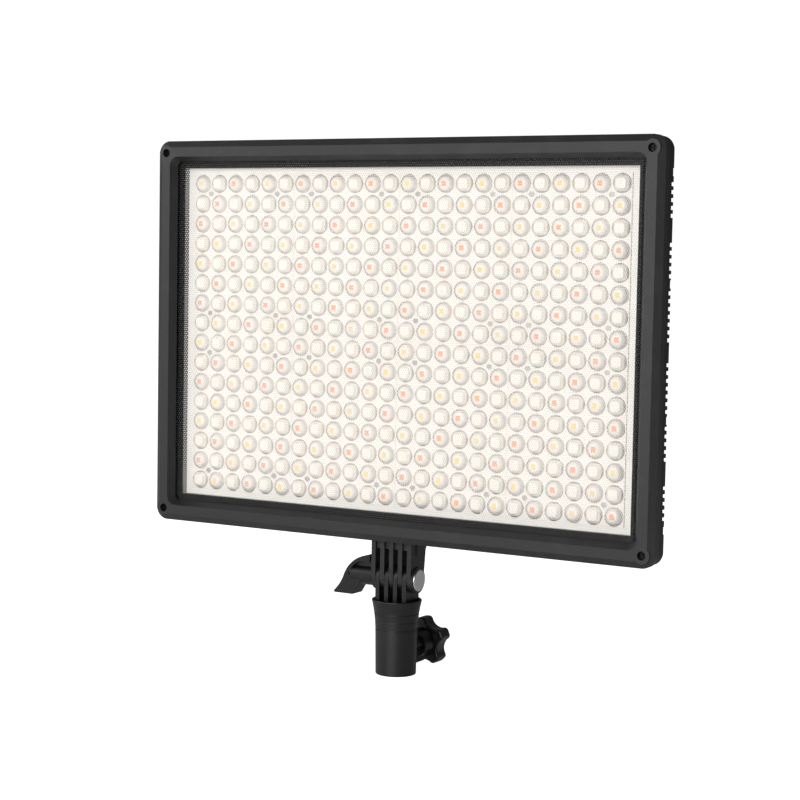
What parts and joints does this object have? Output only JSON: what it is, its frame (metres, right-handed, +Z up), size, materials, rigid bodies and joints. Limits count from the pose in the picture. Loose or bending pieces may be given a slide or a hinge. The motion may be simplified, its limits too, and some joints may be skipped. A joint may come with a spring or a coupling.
{
  "type": "led panel light",
  "caption": "Flat rectangular LED panel light with domed lens plates behind a clear front plate, on a tilting bracket and stand receiver with a side knob.",
  "frame": {"origin": "centre of the stand socket's mouth, at the bottom of the receiver", "axes": "+Z up along the socket, -Y the way the light shines, +X to the right of somebody who faces the light"},
  "size_m": [0.373, 0.062, 0.3485],
  "materials": {
    "satin_black_plastic": "fine moulded texture",
    "black_plastic": "fine moulded texture",
    "gloss_black_plastic": "polished",
    "clear_acrylic": "clear with fine white dots",
    "lens_acrylic": "clear and frosted domes",
    "window_acrylic": "smoked, polished",
    "display_glass": "dark display",
    "white_board": "white solder mask",
    "yellow_phosphor": "yellow phosphor",
    "orange_phosphor": "orange phosphor",
    "cream_phosphor": "cream phosphor",
    "aluminium_sheet": "rolled",
    "zinc_steel": "zinc plated",
    "black_steel": "black oxide",
    "brass": "turned",
    "circuit_board": "green solder mask",
    "component_black": "moulded",
    "button_rubber": "satin"
  },
  "bodies": {
    "receiver": {"stand_receiver": "satin_black_plastic", "clamp_insert": "brass"},
    "head": {"front_bezel": "satin_black_plastic", "light_guide_plate": "clear_acrylic", "guide_frame": "black_plastic", "edge_strip_top": "white_board", "edge_strip_bottom": "white_board", "edge_leds": "yellow_phosphor", "lens_plate_1": "lens_acrylic", "lens_plate_2": "lens_acrylic", "lens_plate_3": "lens_acrylic", "lens_plate_4": "lens_acrylic", "lens_plate_5": "lens_acrylic", "lens_plate_6": "lens_acrylic", "lens_plate_7": "lens_acrylic", "lens_plate_8": "lens_acrylic", "lens_screws": "zinc_steel", "led_board": "white_board", "cool_white_leds": "yellow_phosphor", "warm_white_leds": "orange_phosphor", "diffused_leds": "cream_phosphor", "chassis_plate": "aluminium_sheet", "chassis_standoffs": "brass", "rear_screws": "black_steel", "bezel_screws": "black_steel", "rear_cover": "black_plastic", "control_board": "circuit_board", "driver_board": "circuit_board", "driver_components": "component_black", "driver_spacers": "brass", "display_panel": "display_glass", "display_window": "window_acrylic", "dial_encoders": "component_black", "tact_switches": "component_black", "rocker_housing": "black_plastic", "dc_socket": "black_plastic", "dc_socket_pin": "zinc_steel", "battery_plate_left": "black_plastic", "battery_plate_right": "black_plastic", "battery_contacts_left": "brass", "battery_contacts_right": "brass", "tilt_bracket": "satin_black_plastic", "pivot_bolt": "zinc_steel", "pivot_washer": "zinc_steel"},
    "lever": {"tilt_lever": "satin_black_plastic", "lever_nut": "brass"},
    "stud": {"clamp_stud": "zinc_steel"},
    "knob": {"clamp_knob": "satin_black_plastic"},
    "brightness_knob": {"brightness_dial": "black_plastic", "brightness_dial_shaft": "aluminium_sheet"},
    "colour_knob": {"colour_dial": "black_plastic", "colour_dial_shaft": "aluminium_sheet"},
    "mode_key": {"mode_button": "button_rubber"},
    "menu_key": {"menu_button": "button_rubber"},
    "preset_key": {"preset_button": "button_rubber"},
    "power_key": {"power_rocker": "gloss_black_plastic"},
    "latch_left": {"battery_latch_left": "gloss_black_plastic"},
    "latch_right": {"battery_latch_right": "gloss_black_plastic"}
  },
  "joints": [
    {"name": "head_tilt", "type": "hinge", "parent": "receiver", "child": "head", "pos_m": [0, 0, 0.0632], "axis": [1, 0, 0], "range_deg": [-90, 90]},
    {"name": "lever_turn", "type": "hinge", "parent": "head", "child": "lever", "pos_m": [-0.02, 0, 0.0632], "axis": [-1, 0, 0], "range_deg": [0, 120]},
    {"name": "knob_turn", "type": "hinge", "parent": "stud", "child": "knob", "pos_m": [0, 0.03, 0.0152], "axis": [0, -1, 0], "range_deg": [0, 1080]},
    {"name": "stud_travel", "type": "slide", "parent": "receiver", "child": "stud", "axis": [0, -1, 0], "range_m": [0, 0.0037]},
    {"name": "brightness_turn", "type": "hinge", "parent": "head", "child": "brightness_knob", "pos_m": [0.048, 0.018, 0.2885], "axis": [0, 1, 0], "continuous": true},
    {"name": "colour_turn", "type": "hinge", "parent": "head", "child": "colour_knob", "pos_m": [-0.048, 0.018, 0.2885], "axis": [0, 1, 0], "continuous": true},
    {"name": "mode_press", "type": "slide", "parent": "head", "child": "mode_key", "axis": [0, -1, 0], "range_m": [0, 0.0006], "stiffness_N_per_m": 800},
    {"name": "menu_press", "type": "slide", "parent": "head", "child": "menu_key", "axis": [0, -1, 0], "range_m": [0, 0.0006], "stiffness_N_per_m": 800},
    {"name": "preset_press", "type": "slide", "parent": "head", "child": "preset_key", "axis": [0, -1, 0], "range_m": [0, 0.0006], "stiffness_N_per_m": 800},
    {"name": "latch_left_press", "type": "slide", "parent": "head", "child": "latch_left", "axis": [0, -1, 0], "range_m": [0, 0.0015], "stiffness_N_per_m": 500},
    {"name": "latch_right_press", "type": "slide", "parent": "head", "child": "latch_right", "axis": [0, -1, 0], "range_m": [0, 0.0015], "stiffness_N_per_m": 500},
    {"name": "power_rock", "type": "hinge", "parent": "head", "child": "power_key", "pos_m": [0.022, 0.0137, 0.1445], "axis": [-1, 0, 0], "range_deg": [0, 16]}
  ],
  "couplings": [
    {"joint": "knob_turn", "follows": "stud_travel", "rad_per_m": 5026.5}
  ]
}
